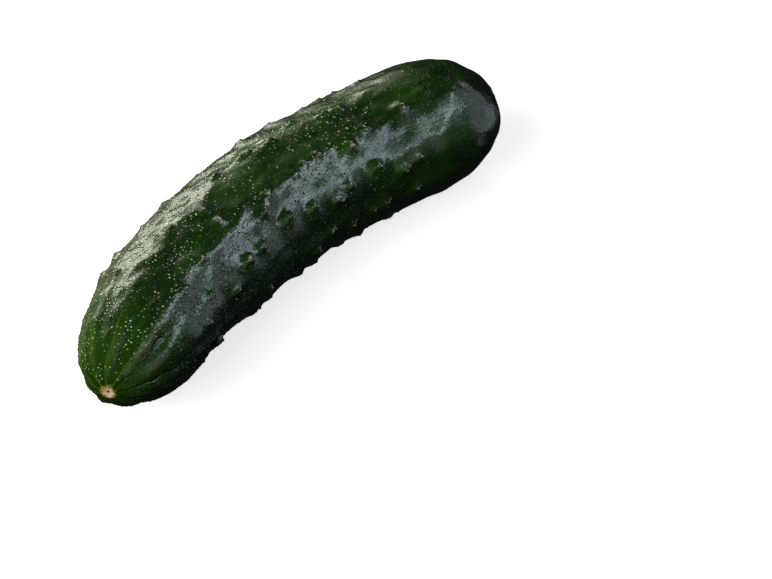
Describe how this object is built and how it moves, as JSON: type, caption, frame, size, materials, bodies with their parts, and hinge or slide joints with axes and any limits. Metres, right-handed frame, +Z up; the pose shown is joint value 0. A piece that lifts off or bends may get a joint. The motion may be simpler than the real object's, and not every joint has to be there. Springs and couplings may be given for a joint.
{
  "type": "cucumber",
  "caption": "Whole warty green cucumber, bowed to one side, with a creased tapering blossom end, a blunt stem end and a flat strip along its belly to rest on.",
  "frame": {"origin": "centre of the bounding box in X and Y, on the surface that the cucumber rests on", "axes": "+X from the blossom end to the stem end, +Y towards the outer side of the bow, +Z up"},
  "size_m": [0.205, 0.0622, 0.0491],
  "materials": {
    "skin": "waxy dark green skin with fine pimples, paler wart tips and streaks at the blossom end"
  },
  "bodies": {
    "root": {"cucumber": "skin"}
  },
  "joints": []
}
